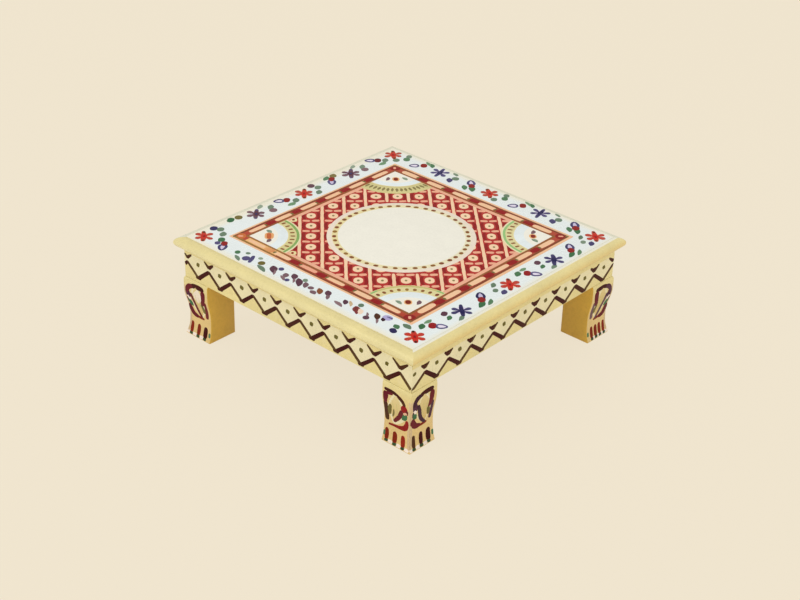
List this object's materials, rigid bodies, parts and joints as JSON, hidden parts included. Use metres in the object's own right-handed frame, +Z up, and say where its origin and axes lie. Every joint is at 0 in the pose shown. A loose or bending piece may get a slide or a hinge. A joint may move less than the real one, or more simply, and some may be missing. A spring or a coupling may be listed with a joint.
{
  "type": "low wooden stool",
  "caption": "Low square painted wooden stool with a moulded top edge, an apron of mitred rails and short waisted legs.",
  "frame": {"origin": "on the floor, under the middle of the board: bottom centre of the bounding box", "axes": "+Z up, square to the board; +X along the front rail to the right, -Y towards the front rail"},
  "size_m": [0.305, 0.305, 0.105],
  "materials": {
    "board_paint": "wood under glossy hand-painted enamel, white and cream ground",
    "gold_paint": "wood under satin pale gold paint with a painted pattern",
    "bare_wood": "sawn and planed, unpainted",
    "screw_steel": "zinc-plated countersunk screw"
  },
  "bodies": {
    "root": {"top_board": "board_paint", "rail_back": "gold_paint", "rail_left": "gold_paint", "rail_front": "gold_paint", "rail_right": "gold_paint", "leg_back_right": "gold_paint", "leg_back_left": "gold_paint", "leg_front_left": "gold_paint", "leg_front_right": "gold_paint", "leg_screw_back_right_side_rail": "screw_steel", "leg_screw_back_right_end_rail": "screw_steel", "leg_screw_back_left_side_rail": "screw_steel", "leg_screw_back_left_end_rail": "screw_steel", "leg_screw_front_left_side_rail": "screw_steel", "leg_screw_front_left_end_rail": "screw_steel", "leg_screw_front_right_side_rail": "screw_steel", "leg_screw_front_right_end_rail": "screw_steel", "cleat_back": "bare_wood", "cleat_left": "bare_wood", "cleat_front": "bare_wood", "cleat_right": "bare_wood", "cleat_screw_back_rail": "screw_steel", "cleat_screw_back_board": "screw_steel", "cleat_screw_left_rail": "screw_steel", "cleat_screw_left_board": "screw_steel", "cleat_screw_front_rail": "screw_steel", "cleat_screw_front_board": "screw_steel", "cleat_screw_right_rail": "screw_steel", "cleat_screw_right_board": "screw_steel"}
  },
  "joints": []
}
